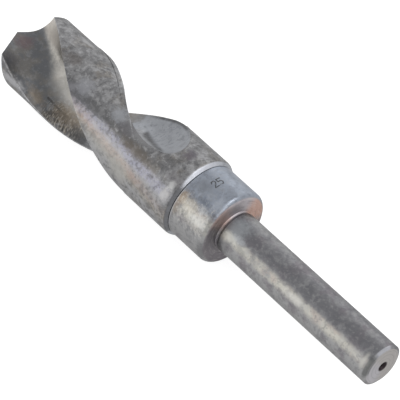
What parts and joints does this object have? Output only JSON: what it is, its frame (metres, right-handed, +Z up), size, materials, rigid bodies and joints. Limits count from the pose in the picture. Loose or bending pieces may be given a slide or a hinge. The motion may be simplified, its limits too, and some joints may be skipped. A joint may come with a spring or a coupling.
{
  "type": "reduced-shank twist drill bit",
  "caption": "Right-hand helical twist drill with a ground point, flutes that run out before the neck, and a thinner straight shank, for boring large round holes from a small chuck.",
  "frame": {"origin": "centre of the shank's end face, on the tool's axis", "axes": "+X along the tool's axis from the shank's end towards the point; +Z up as the tool lies on its side; +Y completes the right-handed frame"},
  "size_m": [0.1506, 0.025, 0.025],
  "materials": {
    "tool_steel": "worn grey high-speed steel with a mottled oxide skin, straw and lilac heat tints and fine scratches",
    "shank_steel": "worn grey carbon steel with patches of straw and copper heat tint and light scuffs along the shank"
  },
  "bodies": {
    "root": {"fluted_body": "tool_steel", "neck_and_shank": "shank_steel"}
  },
  "joints": []
}
